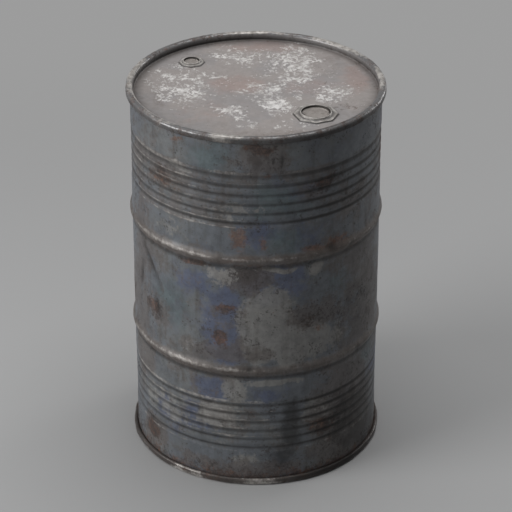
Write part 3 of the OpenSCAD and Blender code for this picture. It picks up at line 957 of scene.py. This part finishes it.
# Stains and wear on the wall, in the form that spots_on_wall takes. Among the soot, the broad spots on the
# right and low down are painted shade.
WALL_SPOTS = {
    "blue": [
        (-15, 0.425, 9, 0.095, 1.25), (8, 0.530, 14, 0.045, 1.2), (-29, 0.520, 10, 0.035, 0.8),
        (-20, 0.250, 9, 0.032, 0.95), (6, 0.240, 12, 0.026, 0.6), (2, 0.655, 9, 0.040, 0.6),
        (25, 0.640, 12, 0.030, 0.5), (-30, 0.160, 14, 0.050, 0.55), (-46, 0.150, 10, 0.060, 0.6),
        (20, 0.760, 12, 0.040, 0.5), (45, 0.180, 8, 0.060, 0.5),
    ],
    "teal": [(64, 0.270, 7, 0.040, 0.9), (-42, 0.450, 10, 0.060, 0.7), (-22, 0.840, 9, 0.035, 0.7),
             (40, 0.500, 9, 0.050, 0.5), (9, 0.735, 13, 0.050, 0.7), (14, 0.640, 9, 0.035, 0.7)],
    "pale": [
        (6, 0.420, 12, 0.080, 1.5), (18, 0.375, 14, 0.045, 1.8), (40, 0.365, 6, 0.040, 0.6),
        (-10, 0.252, 6, 0.030, 1.1), (10, 0.277, 12, 0.009, 1.0), (-19, 0.180, 9, 0.035, 1.3),
        (30, 0.165, 6, 0.050, 1.0), (28, 0.555, 4, 0.016, 1.0), (9, 0.566, 9, 0.006, 1.0),
        (-36, 0.350, 10, 0.030, 0.5), (-50, 0.165, 25, 0.045, 0.55), (-5, 0.060, 12, 0.020, 0.5),
        (-45, 0.640, 12, 0.030, 0.45),
    ],
    "brown": [
        (28, 0.435, 12, 0.030, 0.8), (-3, 0.548, 9, 0.030, 1.1), (46, 0.170, 16, 0.130, 0.75),
        (2, 0.848, 9, 0.036, 0.7), (-58, 0.070, 8, 0.030, 0.9), (-68, 0.450, 12, 0.250, 0.5),
        (-52, 0.405, 8, 0.030, 0.7), (50, 0.700, 20, 0.070, 0.5), (-10, 0.350, 30, 0.020, 0.5),
        (60, 0.560, 18, 0.060, 0.45), (62, 0.400, 16, 0.180, 0.55), (-10, 0.040, 24, 0.022, 0.75),
    ],
    "rust": [
        (-17, 0.385, 3.5, 0.022, 1.0), (-27, 0.574, 7, 0.009, 1.0), (-58, 0.067, 5, 0.022, 0.9),
        (-56, 0.410, 6, 0.022, 0.7), (26, 0.425, 7, 0.020, 0.45), (-14, 0.470, 5, 0.015, 0.7),
        (2, 0.870, 8, 0.012, 0.65), (38, 0.603, 12, 0.011, 0.9), (34, 0.770, 9, 0.020, 0.6),
        (-48, 0.760, 10, 0.030, 0.6), (33, 0.130, 8, 0.050, 0.6),
    ],
    "orange": [
        (-8, 0.645, 4, 0.030, 0.9), (3, 0.640, 2, 0.020, 0.8), (27, 0.612, 6, 0.010, 1.0),
        (40, 0.618, 7, 0.008, 0.8), (-37, 0.870, 3.5, 0.006, 1.0), (-8, 0.595, 9, 0.006, 0.7),
        (3, 0.797, 3, 0.006, 0.7), (30, 0.400, 4, 0.020, 0.5),
    ],
    "flake": [
        (-16, 0.550, 9, 0.027, 0.68), (-11, 0.715, 11, 0.024, 0.58), (-36, 0.795, 7, 0.006, 0.9),
        (1, 0.720, 6, 0.012, 0.5), (31, 0.180, 6, 0.045, 0.45), (-18, 0.180, 9, 0.030, 0.76),
        (28, 0.556, 4, 0.013, 0.95), (8, 0.566, 9, 0.007, 0.62), (40, 0.365, 6, 0.030, 0.45),
        (24, 0.400, 5, 0.016, 0.45), (14, 0.466, 4, 0.012, 0.5), (0, 0.45, 60, 0.30, 0.2),
    ],
    "lifted": [(-8, 0.520, 12, 0.030, 0.35), (36, 0.400, 14, 0.070, 0.35), (-60, 0.500, 14, 0.100, 0.3),
               (18, 0.150, 30, 0.060, 0.3), (40, 0.640, 40, 0.200, 0.22)],
    # Narrow soot spots are smudges; the broad ones on the right and low down are painted shade on the side
    # away from the key light.
    "soot_and_shade": [(17, 0.185, 4, 0.038, 1.0), (16, 0.130, 5, 0.045, 1.0), (12, 0.080, 7, 0.030, 0.7),
             (52, 0.120, 22, 0.090, 0.7), (11, 0.838, 1.0, 0.018, 0.9), (7, 0.842, 0.8, 0.010, 0.8),
             (40, 0.780, 14, 0.040, 0.45), (62, 0.060, 20, 0.040, 0.95), (53, 0.420, 15, 0.160, 0.42),
             (54, 0.250, 14, 0.045, 0.4), (-46, 0.255, 13, 0.028, 0.28)],
}


# Where the brown film was wiped off
WIPED_SPOTS = [(8, 0.735, 13, 0.050, 0.5), (8, 0.640, 14, 0.030, 0.5), (8, 0.245, 12, 0.030, 0.45),
               (18, 0.365, 10, 0.030, 0.4), (-52, 0.165, 12, 0.040, 0.3)]


def hidden_side_spots(kind, amount, seed):
    """More of the same stains on the drum's other side."""
    dice = random.Random(seed)
    sizes = {"flake": (6, 0.02), "rust": (5, 0.016), "orange": (4, 0.012), "soot_and_shade": (3, 0.04)}
    wide, tall = sizes.get(kind, (10, 0.035))
    return [(dice.uniform(82, 278), dice.uniform(0.04, 0.86), wide * dice.uniform(0.5, 1.5),
             tall * dice.uniform(0.5, 1.6), dice.uniform(0.45, 1.0)) for _ in range(amount)]


HIDDEN_AMOUNTS = {"blue": 12, "teal": 5, "pale": 14, "brown": 18, "rust": 18, "orange": 14, "flake": 14,
                  "lifted": 10, "soot_and_shade": 3}


def rust_on_edges(z):
    """Rust that creeps away from both seams and lies under the hoops."""
    seam = 0.012
    low = 0.62 * np.clip(1 - (z - seam) / 0.05, 0, 1)
    high = 0.42 * np.clip(1 - (DRUM_H - seam - z) / 0.03, 0, 1)
    return np.maximum(np.maximum(low, high), 0.46 * along_hoops(z, -0.012, 0.014))


def film_on_relief(z, in_beads):
    """Brown film on both hoops and over the upper beads."""
    lower, upper = HOOPS
    hoops = np.maximum(0.5 * band(z, lower, 0.03), 0.45 * band(z, upper, 0.03))
    return np.maximum(hoops, 0.3 * in_beads * (z > DRUM_H / 2))


def stain_wall(mesh, co, in_beads):
    """Writes a field for each kind of stain."""
    z = co[:, 2]
    drawn = co.copy()
    drawn[:, 0] += cloud(co, 0.07, 21) * 0.016
    drawn[:, 2] += cloud(co, 0.05, 22) * 0.014
    for seed, (kind, spots) in enumerate(WALL_SPOTS.items(), 11):
        field = spots_on_wall(drawn, spots + hidden_side_spots(kind, HIDDEN_AMOUNTS[kind], seed))
        if kind == "rust":
            field = np.maximum(field, rust_on_edges(z))
        if kind == "brown":
            field = np.maximum(field, film_on_relief(z, in_beads)) - spots_on_wall(drawn, WIPED_SPOTS)
        set_attribute(mesh, kind, field)


def paint_wall(mesh, co):
    """Writes the fields that the shell's finish reads. co holds the points before they were dented."""
    angle, z = round_wall(co)
    radius = np.hypot(co[:, 0], co[:, 1])
    end = np.minimum(z, DRUM_H - z)
    in_beads = ((end < LAST_BEAD + BEAD_MARGIN) & (end > FIRST_BEAD - BEAD_MARGIN)).astype(float)
    stain_wall(mesh, co, in_beads)

    # How far a point lies below the middle of the nearest groove. In the upper half, end grows downwards.
    downwards = (z > DRUM_H / 2) * 2.0 - 1
    below_groove = ((end - FIRST_BEAD) * downwards + BEAD_PITCH / 2) % BEAD_PITCH - BEAD_PITCH / 2
    # Bands of painted highlight along the bead ridges, a little above each groove's middle.
    ridge_highlight = in_beads * band(-below_groove, 0.0062, 0.0040)
    shoulders = np.maximum(band(end, FIRST_BEAD - 0.011, 0.005), band(end, LAST_BEAD + 0.011, 0.005))
    # Wear and painted highlight are strongest on the side towards the key light, with some on the right.
    lit_side = 0.5 + 0.6 * facing(angle, -45, 50, 1.6) + 0.3 * facing(angle, 64, 22, 1.5)
    wear_and_highlight = along_hoops(z, 0.003, 0.010) * 0.54 + ridge_highlight * 0.52 + shoulders * 0.46
    set_attribute(mesh, "wear_and_highlight", wear_and_highlight * lit_side)
    set_attribute(mesh, "rubbed", along_hoops(z, 0, 0.016) * 1.8)

    groove = np.clip(1 - (radius - (WALL_R - BEAD_DEPTH)) / (BEAD_DEPTH - RIDGE_DROP), 0, 1)
    # Painted shade lies thicker in the grooves on the right, away from the key light, and a little on the
    # front left.
    groove_shade_weight = 1 + 0.9 * facing(angle, 52, 27, 1.7) + 0.4 * facing(angle, -28, 20, 1.5)
    # Painted shade in the bottoms of the bead grooves, and in a band just below each groove's middle.
    recess_shade = in_beads * (groove ** 3 * 0.6 + band(below_groove, 0.003, 0.004) * 0.6) * groove_shade_weight
    # Painted shade under each hoop.
    recess_shade += along_hoops(z, -HOOP_H / 2, 0.008) * 1.1
    # Painted shadow on the wall next to both seams, under the chimes.
    recess_shade += np.clip(1 - end / 0.022, 0, 1)
    # Painted shade in the narrow creases.
    recess_shade += sum(dent_shape(angle, z, dent) for dent in CREASES)
    set_attribute(mesh, "painted_recess_shade", recess_shade)


# ---------------------------------------------------------------- heads

def rounded_octagon(apothem):
    """Radius of an octagon with its corners on the axes, softened at them."""
    power = 150
    flats = [(22.5 + 45 * k) * DEG for k in range(8)]

    def radius(angle):
        total = sum(max(math.cos(angle - flat), 0) ** power for flat in flats)
        return apothem / total ** (1 / power)
    return radius


def chime_line():
    """Middle line of a head's sheet from its panel's edge over the crest to the tucked edge, with heights
    measured down from the crest."""
    wall = CHIME_INNER_R + SHEET / 2
    outer = CHIME_R - SHEET / 2
    corner = PANEL_BEND + SHEET / 2
    curl = (CHIME_PROUD - SHEET - TUCK_GAP) / 2
    panel = -HEAD_DEPTH - SHEET / 2
    bend = -SHEET / 2 - CREST_BEND
    curl_z = -CHIME_H + SHEET / 2 + curl
    return ([(wall - corner - 0.006, panel)]
            + arc((wall - corner, panel + corner), corner, -90, 0, 6)
            + arc((wall + CREST_BEND, bend), CREST_BEND, 180, 90, 8)
            + arc((outer - CREST_BEND, bend), CREST_BEND, 90, 0, 8)
            + [(outer, (bend + curl_z) / 2)]
            + arc((outer - curl, curl_z), curl, 0, -180, 12)
            + [(outer - 2 * curl, curl_z + 0.0015)])


def boss_rows(bung, panel_z):
    """Rings from the flat panel round a boss, up its edge, over it and round its lip into the mouth."""
    apothem = bung["boss_r"] - SHEET / 2
    lip_mid = bung["lip_r"] - SHEET / 2
    bend = 1.2 * MM
    fillet = min(1.6 * MM, bung["lip_rise"] - bend)
    top = panel_z + BOSS_RISE
    lip_top = top + bung["lip_rise"]
    root = lip_mid + fillet
    edge = [(4, 0), (2.0, 0), (1.0, 0.04), (0.45, 0.2), (0.15, 0.45), (-0.05, 0.75), (-0.3, 0.94), (-0.8, 1),
            (-1.5, 1), (-2.3, 1), (-3.2, 1)]
    rows = [(apothem / math.cos(22.5 * DEG) + 0.006, panel_z)]
    rows += [(rounded_octagon(apothem + out * MM), panel_z + share * BOSS_RISE) for out, share in edge]
    rows += arc((root, top + fillet), fillet, 270, 180, 5)
    rows += arc((lip_mid - bend, lip_top - bend), bend, 0, 90, 6)
    rows += [(bung["mouth_r"], lip_top)]
    return rows


def panel(height, rim, holes, spacing=0.011):
    """A flat disc with round holes, as triangles that share the points of the rings at its edges. Between
    the rings, points stand in rows, and every other row is shifted by half a step."""
    points = [tuple(p[:2]) for p in rim]
    edges = [(i, (i + 1) % len(rim)) for i in range(len(rim))]
    for ring in holes:
        first = len(points)
        points += [tuple(p[:2]) for p in ring]
        edges += [(first + i, first + (i + 1) % len(ring)) for i in range(len(ring))]
    reach = float(np.hypot(*rim[0][:2]))
    middles = [ring[:, :2].mean(0) for ring in holes]
    circles = [(middle, float(np.hypot(*(ring[0, :2] - middle)))) for ring, middle in zip(holes, middles)]
    steps = int(reach / spacing) + 1
    row_height = 0.866
    clear = 0.6 * spacing
    for i in range(-steps, steps + 1):
        for j in range(-steps, steps + 1):
            spot = np.array([(i + 0.5 * (j % 2)) * spacing, j * spacing * row_height])
            if np.hypot(*spot) > reach - clear:
                continue
            if all(np.hypot(*(spot - middle)) > radius + clear for middle, radius in circles):
                points.append(tuple(spot))
    inside_only, merge_distance = 1, 1e-7
    found = delaunay_2d_cdt([Vector(p) for p in points], edges, [], inside_only, merge_distance)
    flat = np.array([tuple(p) for p in found[0]])
    faces = []
    for face in found[2]:
        middle_of_face = flat[list(face)].mean(0)
        # Faces that fill a hole are left out.
        if all(np.hypot(*(middle_of_face - middle)) > radius * 0.995 for middle, radius in circles):
            faces.append(tuple(face))
    return np.column_stack([flat, np.full(len(flat), height)]), faces


def head_mesh(name, bungs=()):
    """The top head's sheet, with its bosses, as a closed mesh. The bottom head is its mirror with none."""
    line = [(r, DRUM_H + z) for r, z in chime_line()]
    chime = loft(line, AROUND)
    panel_z = DRUM_H - HEAD_DEPTH - SHEET / 2
    bosses = [loft(boss_rows(bung, panel_z), AROUND_BOSS, bung["centre"]) for bung in bungs]
    disc = panel(panel_z, chime[0][:AROUND], [points[:AROUND_BOSS] for points, _ in bosses])
    mesh = new_mesh(name, *joined(chime, disc, *bosses))
    return evaluated_mesh(mesh, "SOLIDIFY", thickness=SHEET, offset=0.0, use_even_offset=True)


# Dents in the top panel: (x, y, half width, half depth, depth)
HEAD_DENTS = [(-0.235, 0.112, 0.028, 0.007, 1.8 * MM), (0.136, 0.218, 0.040, 0.020, 1.8 * MM),
              (0.02, 0.05, 0.140, 0.110, 1.5 * MM), (-0.10, -0.17, 0.050, 0.040, 1.2 * MM)]


def dent_head(co, dents, seed):
    """Moves the panel's points up or down, and knocks the chime about a little."""
    radius = np.hypot(co[:, 0], co[:, 1])
    inside = np.clip((CHIME_INNER_R - 0.004 - radius) / 0.05, 0, 1)
    change = cloud(co, 0.13, seed) * 1.1 * MM + cloud(co, 0.05, seed + 1) * 0.35 * MM
    for x, y, wide, deep, depth in dents:
        change -= depth * np.exp(-((co[:, 0] - x) / wide) ** 2 - ((co[:, 1] - y) / deep) ** 2)
    for bung in BUNGS.values():
        inside = np.minimum(inside, np.clip((from_axis(co, bung) - bung["boss_r"] - 0.006) / 0.03, 0, 1))
    co[:, 2] += change * inside
    rim = np.clip((radius - CHIME_INNER_R) / 0.004, 0, 1)
    nick = np.minimum(cloud(co, 0.03, seed + 2) + 0.1, 0) * 1.6 * MM
    co[:, 2] += np.where(co[:, 2] > DRUM_H - CHIME_H * 0.6, nick, 0) * rim
    shrink = 1 + rim * (cloud(co, 0.04, seed + 3) * 1.3 * MM) / radius.clip(0.1)
    co[:, 0] *= shrink
    co[:, 1] *= shrink
    return co


# Stains on the top and wear along its chime, in the form that spots_on_head takes. The wear spots also paint
# highlights on the chime, and the soot spots paint shade on it at the front and front right.
HEAD_SPOTS = {
    "flake": [
        (-0.169, 0.027, 0.080, 0.120, 0.74), (-0.160, 0.050, 0.045, 0.060, 0.80),
        (-0.022, 0.180, 0.085, 0.060, 0.76), (0.087, 0.142, 0.065, 0.105, 0.84),
        (-0.011, -0.005, 0.036, 0.052, 0.70), (0.054, -0.049, 0.052, 0.095, 0.78),
        (0.033, -0.087, 0.028, 0.026, 1.10), (0.174, -0.022, 0.045, 0.056, 0.74),
        (-0.049, -0.125, 0.034, 0.040, 0.70), (-0.022, -0.191, 0.034, 0.030, 0.70),
        (0.080, -0.190, 0.050, 0.034, 0.60), (0.02, 0.05, 0.24, 0.20, 0.30),
    ],
    "pink": [(0.022, 0.240, 0.09, 0.03, 0.8), (0.230, 0.065, 0.03, 0.08, 0.9),
             (-0.044, 0.027, 0.06, 0.05, 0.8), (0.12, 0.02, 0.06, 0.05, 0.5),
             (-0.10, -0.12, 0.08, 0.06, 0.4)],
    "brown": [(0.06, -0.24, 0.16, 0.03, 0.6), (-0.22, -0.06, 0.03, 0.10, 0.4),
              (0.18, 0.15, 0.06, 0.06, 0.4)],
    "rust": [(0.20, -0.10, 0.03, 0.02, 0.4), (-0.08, 0.10, 0.03, 0.02, 0.35)],
    "wear_and_highlight": [(-0.04, 0.288, 0.15, 0.02, 0.58), (0.20, 0.21, 0.08, 0.07, 0.82),
             (-0.22, -0.19, 0.09, 0.06, 0.32), (-0.070, -0.285, 0.036, 0.02, 0.52),
             (0.012, -0.293, 0.030, 0.012, 0.32), (-0.28, 0.06, 0.03, 0.12, 0.48),
             (0.28, 0.03, 0.02, 0.06, 0.6)],
    "soot_and_shade": [(0.16, -0.24, 0.13, 0.07, 0.36), (-0.02, -0.29, 0.10, 0.02, 0.14)],
}


# Stains under the foot; bright places along its chime, worn and with painted highlights; and a painted shadow
# on its chime at the front right
FOOT_SPOTS = {
    "wear_and_highlight": [(-0.16, -0.25, 0.07, 0.04, 0.8), (0.01, -0.295, 0.05, 0.02, 0.75),
             (-0.26, -0.13, 0.03, 0.05, 0.4), (0.10, 0.27, 0.08, 0.03, 0.5)],
    "brown": [(0.0, 0.0, 0.20, 0.16, 0.5), (-0.12, 0.10, 0.09, 0.07, 0.8)],
    "rust": [(0.10, -0.06, 0.08, 0.05, 0.6), (-0.14, -0.12, 0.05, 0.05, 0.5), (0.02, 0.16, 0.06, 0.04, 0.5)],
    "flake": [(0.05, 0.08, 0.09, 0.07, 0.7), (-0.08, -0.05, 0.06, 0.05, 0.65)],
    "soot_and_shade": [(0.21, -0.20, 0.12, 0.12, 0.5)],
}


def boss_fields(co, fields):
    """Adds wear and painted highlights on the edges of the bosses and lips, and painted shade round them and
    inside the lips.
    """
    for bung in BUNGS.values():
        away = from_axis(co, bung)
        outline = rounded_octagon(bung["boss_r"] - SHEET / 2)
        near = np.nonzero(away < bung["boss_r"] * 1.2)[0]
        # How far a point lies outside the boss
        edge = np.full(len(co), 1.0)
        for i in near:
            x, y = co[i, :2] - bung["centre"]
            edge[i] = away[i] - outline(math.atan2(y, x))
        off_lip = away - bung["lip_r"]
        up = co[:, 2] > DRUM_H - HEAD_DEPTH - SHEET
        rim = band(edge, -1.6 * MM, 1.9 * MM, 1.6) * up
        lip = band(off_lip, -1.3 * MM, 1.7 * MM, 1.6) * up
        # Wear and painted highlights on the boss edges and the lip tops.
        fields["wear_and_highlight"] += 1.05 * (rim + lip)
        # Chalk flakes along the same edges, as a broken painted highlight.
        fields["flake"] += 0.6 * rim + 0.85 * lip
        # The boss tops a little darker.
        fields["soot_and_shade"] += 0.34 * (edge < 0) * (1 - rim) * (1 - lip) * up
        # Painted shadow round each boss's foot and on its side wall.
        fields["soot_and_shade"] += 0.95 * band(edge, 1.7 * MM, 1.5 * MM, 1.4) * up
        # Painted shade on the lip's outer wall.
        fields["soot_and_shade"] += 0.65 * band(off_lip, 1.5 * MM, 1.5 * MM, 1.2) * up
        fields["rust"] += 0.5 * band(off_lip, 2 * MM, 4 * MM) * up
        # Painted shade down inside the mouth.
        fields["soot_and_shade"] += np.clip((bung["mouth_r"] + 0.5 * MM - away) / (0.4 * MM), 0, 1)


def head_stains(co, spots, seed, chime):
    """Fields of a head's stains, most of which stop at its chime."""
    drawn = co.copy()
    drawn[:, 0] += cloud(co, 0.05, 31 + seed) * 0.016
    drawn[:, 1] += cloud(co, 0.05, 32 + seed) * 0.016
    fields = {kind: spots_on_head(drawn, spots.get(kind, [])) for kind in HEAD_SPOTS}
    # Past a certain thickness, flakes grow more slowly.
    fields["flake"] = np.minimum(fields["flake"], 0.46 + 0.3 * (fields["flake"] - 0.46))
    for kind in ("flake", "pink", "brown", "rust"):
        fields[kind] *= 1 - chime
    fields["chime"] = chime
    return fields


def chime_fields(co, fields, foot):
    """Adds rust, bright worn places with painted highlights, and dirt and painted shade on the chime and in
    the corner inside it.
    """
    chime = fields["chime"]
    radius = np.hypot(co[:, 0], co[:, 1])
    down = DRUM_H - co[:, 2]
    crest_reach = 0.009
    crest = np.clip(1 - down / crest_reach, 0, 1) * chime
    corner = band(radius, CHIME_INNER_R - 0.003, 0.018) * (down > crest_reach)
    fields["rust"] = np.maximum(fields["rust"], 0.44 * chime + 0.30 * corner)
    fields["brown"] = np.maximum(fields["brown"], 0.55 * corner)

    below_crest = np.clip((down - 3 * MM) / (4 * MM), 0, 1)
    outside = chime * (radius > CHIME_R - 5 * MM) * below_crest
    inside = chime * np.clip((CHIME_INNER_R + 5 * MM - radius) / (2 * MM), 0, 1) * below_crest
    worn_outside = 0.7 * fields["wear_and_highlight"] * outside
    inner_edge = band(radius, CHIME_INNER_R + 3.5 * MM, 1.4 * MM, 1.4)
    # A painted highlight along the crest's inner edge on the front left, where the key light glints on it.
    key_glint_arc = facing(round_wall(co)[0], -46, 20, 2.2) * (not foot)
    fields["wear_and_highlight"] = (fields["wear_and_highlight"] + 0.18 + 1.1 * inner_edge * key_glint_arc) * crest + worn_outside

    # Painted shade inside the chime and in the corner at its foot, strongest on the left where the wall faces
    # away from the key light, thinning out towards the right; and painted shade on the chime's outer face
    # below the crest.
    left = 1 - 0.65 * np.clip(co[:, 0] / CHIME_R + 0.1, 0, 1)
    corner_shade = (0.45 + 0.25 * left) * corner
    fields["soot_and_shade"] = (fields["soot_and_shade"] * chime + corner_shade + 0.5 * outside * (1 - worn_outside)
                      + 0.95 * inside * left)


def paint_head(mesh, co, spots, seed, foot):
    """Writes the fields that a head's finish reads. co holds the points before they were dented."""
    radius = np.hypot(co[:, 0], co[:, 1])
    chime = np.clip((radius - (CHIME_INNER_R - 0.001)) / 0.002, 0, 1)
    fields = head_stains(co, spots, seed, chime)
    chime_fields(co, fields, foot)
    if not foot:
        boss_fields(co, fields)
    for kind, field in fields.items():
        set_attribute(mesh, kind, field)


def add_head(name, node, finish, bungs, dents, spots, seed, upside_down):
    """A head, painted and then dented. The foot's is made as a top one and turned over."""
    mesh = head_mesh(name, bungs)
    co = coordinates(mesh)
    paint_head(mesh, co.copy(), spots, seed, upside_down)
    co = dent_head(co, dents, seed)
    if upside_down:
        co[:, 2] = DRUM_H - co[:, 2]
        mesh.flip_normals()
    set_coordinates(mesh, co)
    put_piece(name, mesh, finish, "drum", [node])


# ---------------------------------------------------------------- bungs

def bung_levels(bung):
    """Height of the panel's top, and the radii between which the threads lie."""
    panel_z = DRUM_H - HEAD_DEPTH
    pitch_r = (bung["thread_d"] - THREAD_FORM * bung["pitch"]) / 2
    half = THREAD_FORM * bung["pitch"] / 2
    return panel_z, pitch_r - half, pitch_r + half


def flange_mesh(name, bung):
    """Octagonal base and neck, bored to the roots of its thread."""
    z, _, root = bung_levels(bung)
    neck = bung["lip_r"] - SHEET - FLANGE_GAP
    base = rounded_octagon(bung["boss_r"] - SHEET - FLANGE_GAP)
    base_top = z + BOSS_RISE - SHEET - FLANGE_GAP
    base_low = base_top - FLANGE_BASE_T
    bottom = z - SEAT_DEPTH - bung["thread_h"]
    lip = z + BOSS_RISE + bung["lip_rise"] - SHEET - FLANGE_GAP
    seat = bung["mouth_r"] + PLUG_GAP / 2
    soft = 0.5 * MM
    rows = [(neck, lip - soft), (neck, base_top), (base, base_top), (base, base_low), (neck, base_low),
            (neck, bottom + soft), (neck - soft, bottom), (root + soft, bottom), (root, bottom + soft),
            (root, z - SEAT_DEPTH - soft), (root + soft, z - SEAT_DEPTH), (seat, z - SEAT_DEPTH),
            (seat, lip - soft / 2), (seat + soft / 2, lip), (neck - soft, lip)]
    return new_mesh(name, *loft(rows, AROUND_BOSS, bung["centre"], loop=True))


def plug_mesh(name, bung):
    """Dished head with two drive lugs and a rolled rim, over a threaded skirt cut to the thread's roots."""
    z, root, _ = bung_levels(bung)
    rim = z + GASKET_T - SEAT_DEPTH
    top = rim + RIM_T
    floor = top - DISH
    head = bung["mouth_r"] - PLUG_GAP
    bottom = rim - bung["thread_h"]
    inner = root - 2.4 * MM
    under = floor - 2.4 * MM
    half_lug = bung["lug"] / 2
    soft = 0.6 * MM

    def dish(shrink):
        """The dish's outline: a circle with two lugs standing in from it."""
        def radius(angle):
            turned = abs(wrapped(math.degrees(angle) - bung["lug_turn"]))
            across = (head - RIM_W) * math.sin(min(turned, 180 - turned) * DEG)
            lug = min(max((half_lug - across) / soft + 0.5, 0), 1)
            return head - RIM_W - shrink - half_lug * lug * lug * (3 - 2 * lug)
        return radius

    rows = [(dish(1.6 * MM), floor), (dish(0.8 * MM), floor + 0.1 * MM), (dish(0.3 * MM), floor + 0.5 * MM),
            (dish(0), top - 0.5 * MM), (dish(-0.3 * MM), top - 0.1 * MM), (dish(-0.7 * MM), top),
            (head - 0.9 * MM, top), (head - 0.25 * MM, top - 0.2 * MM), (head, top - 0.8 * MM),
            (head, rim + 0.2 * MM), (head - 0.2 * MM, rim), (root, rim), (root, bottom + soft),
            (root - soft, bottom), (inner + soft, bottom), (inner, bottom + soft), (inner, under)]
    floor_rows = [(dish(1.6 * MM + head * 0.2 * k), floor + 0.08 * MM * k) for k in range(3)]
    sides = loft(rows, AROUND_PLUG, bung["centre"])
    dish_floor = loft(floor_rows, AROUND_PLUG, bung["centre"])
    top_pole = pole(dish_floor[0][-AROUND_PLUG:], floor + 0.3 * MM, bung["centre"])
    under_pole = pole(sides[0][-AROUND_PLUG:], under, bung["centre"])
    return new_mesh(name, *joined(sides, dish_floor, top_pole, under_pole))


def moved(mesh, centre):
    """The mesh, shifted sideways onto a bung's axis."""
    co = coordinates(mesh)
    co[:, 0] += centre[0]
    co[:, 1] += centre[1]
    set_coordinates(mesh, co)
    return mesh


def with_painted_shade(mesh, bung, start, reach, least=0.0):
    """The mesh, with painted shade on it that grows from a radius outwards."""
    away = from_axis(coordinates(mesh), bung)
    set_attribute(mesh, "soot_and_shade", np.clip((away - start) / reach, least, 1))
    return mesh


def add_bung(size, bung, flange_steel, plug_steel, rubber):
    """A flange and its plug with their threads, and rubber for both gaskets."""
    z, low_r, high_r = bung_levels(bung)
    depth = high_r - low_r - THREAD_PLAY
    pitch = bung["pitch"]
    turns = int(bung["thread_h"] / pitch) - 1.0
    bottom = z - SEAT_DEPTH - bung["thread_h"] + 0.75 * pitch
    flange_name = size + "_flange_body"
    # The whole flange is darkened with painted shade at 0.7 of full strength.
    flange = with_painted_shade(flange_mesh(flange_name, bung), bung, 0, 1, 0.7)
    put_piece(flange_name, flange, flange_steel, "drum", [size + "_bung_flange"])
    thread = helical_thread(flange_steel, high_r, -depth, pitch, turns, bottom)
    put_piece(size + "_flange_thread", moved(thread, bung["centre"]), flange_steel, "drum")

    plug_name = size + "_plug_cup"
    plug_body = size + "_plug"
    # Painted shade of the gap lies on the outside of the plug's rim.
    head = bung["mouth_r"] - PLUG_GAP
    plug = with_painted_shade(plug_mesh(plug_name, bung), bung, head - 2.3 * MM, 1.2 * MM)
    put_piece(plug_name, plug, plug_steel, plug_body, [size + "_bung_plug"])
    # Its ridge runs midway between the flange's turns.
    thread = helical_thread(plug_steel, low_r, depth, pitch, turns, bottom + pitch / 2)
    put_piece(size + "_plug_thread", moved(thread, bung["centre"]), plug_steel, plug_body)
    for kind in ("plug", "flange"):
        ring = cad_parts[f"{size}_{kind}_gasket"]
        ring.data.materials.clear()
        ring.data.materials.append(rubber)


# ---------------------------------------------------------------- the drum

def add_wall():
    """The shell's sheet, painted and then dented."""
    finish = shell_finish()
    mesh = rolled_wall(finish)
    co = coordinates(mesh)
    paint_wall(mesh, co)
    set_coordinates(mesh, dent_wall(co))
    put_piece("shell_wall", mesh, finish, "drum", ["shell"], sharp=60)


def main():
    """Builds the studio, then the drum from its wall to its bungs."""
    GROUPS.update({"ragged": ragged_group(), "rust": rust_group(), "specks": speckle_group(),
                   "worn steel": worn_steel_group()})
    bpy.context.scene.view_settings.view_transform = "Standard"
    add_camera()
    add_lights()
    add_floor()
    add_wall()
    head_paint = head_finish("head_paint", (122, 122, 123), 0.31)
    add_head("top_plate", "top_head", head_paint, BUNGS.values(), HEAD_DENTS, HEAD_SPOTS,
             seed=5, upside_down=False)
    foot_paint = head_finish("foot_paint", (104, 99, 96), 0.36)
    add_head("foot_plate", "bottom_head", foot_paint, (), [], FOOT_SPOTS,
             seed=9, upside_down=True)
    flange_steel = bung_finish("flange_steel", (128, 124, 118), 0.35)
    plug_steel = bung_finish("plug_steel", (150, 144, 139), 0.25)
    rubber = rubber_finish()
    for size, bung in BUNGS.items():
        add_bung(size, bung, flange_steel, plug_steel, rubber)


main()
